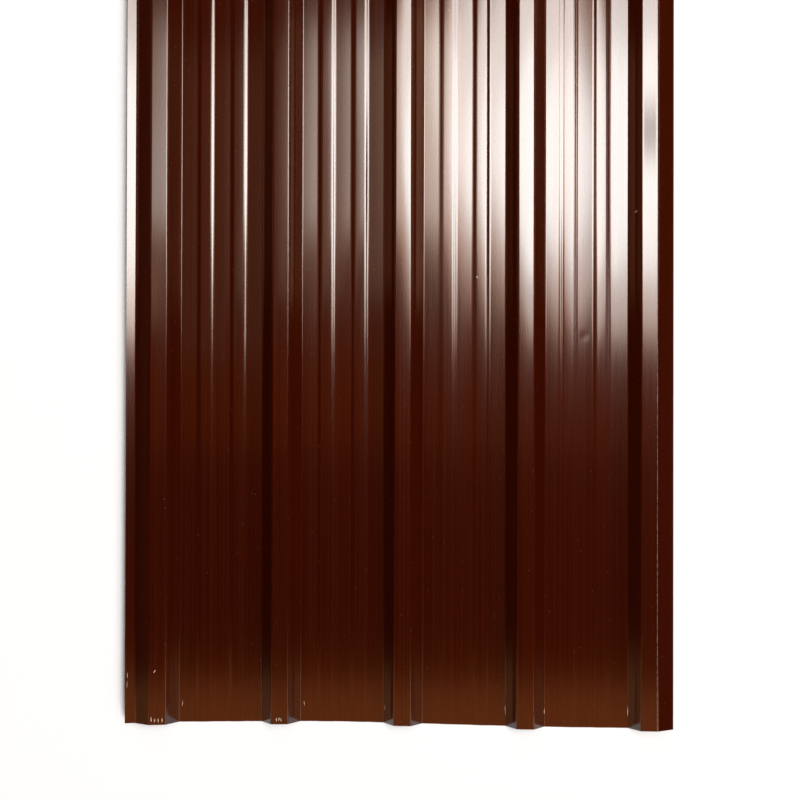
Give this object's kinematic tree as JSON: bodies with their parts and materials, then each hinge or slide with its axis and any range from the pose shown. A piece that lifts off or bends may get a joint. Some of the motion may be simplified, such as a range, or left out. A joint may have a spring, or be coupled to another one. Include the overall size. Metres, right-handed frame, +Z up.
{
  "type": "box profile sheet",
  "caption": "Roll-formed steel roofing sheet with trapezoid ribs, flat pans with low stiffening ribs, splayed side-lap edges and a brown gloss coat; it sheds rain as a roof or wall skin.",
  "frame": {"origin": "middle of the sheet's width and length, on the level of the pans' underside", "axes": "+X across the ribs towards the plain lap edge, +Y along the ribs, +Z up, out of the crowns"},
  "size_m": [0.8516, 2, 0.0311],
  "materials": {
    "topcoat": "gloss dark brown coil coating"
  },
  "bodies": {
    "root": {"sheet": "topcoat"}
  },
  "joints": []
}
